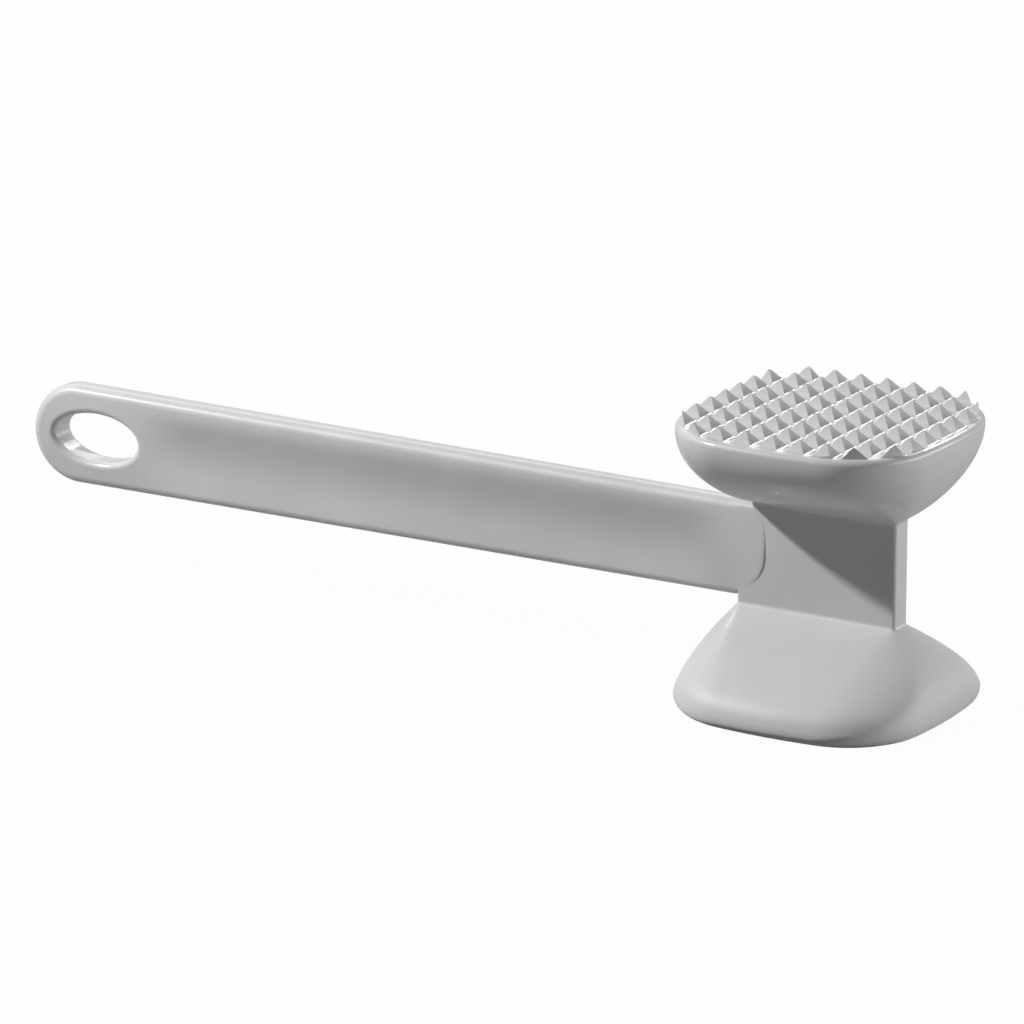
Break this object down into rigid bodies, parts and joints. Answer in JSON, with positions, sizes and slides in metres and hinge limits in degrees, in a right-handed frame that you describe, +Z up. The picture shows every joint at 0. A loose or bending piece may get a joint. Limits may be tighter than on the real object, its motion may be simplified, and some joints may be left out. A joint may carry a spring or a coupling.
{
  "type": "meat tenderizer",
  "caption": "Cast metal meat tenderizer: a head with a toothed face above and a smooth face below, a flat neck, and a bar handle with an oval hanging eye.",
  "frame": {"origin": "centre of the smooth striking face, which is the lowest plane of the head", "axes": "+Z up through the head to the toothed face, handle along -X, Y across the handle's thickness"},
  "size_m": [0.2611, 0.067, 0.074],
  "materials": {
    "cast_aluminium": "satin"
  },
  "bodies": {
    "root": {"toothed_face": "cast_aluminium", "upper_head": "cast_aluminium", "neck_web": "cast_aluminium", "lower_head": "cast_aluminium", "smooth_face": "cast_aluminium", "handle_root": "cast_aluminium", "handle_grip": "cast_aluminium", "hanging_eye": "cast_aluminium"}
  },
  "joints": []
}
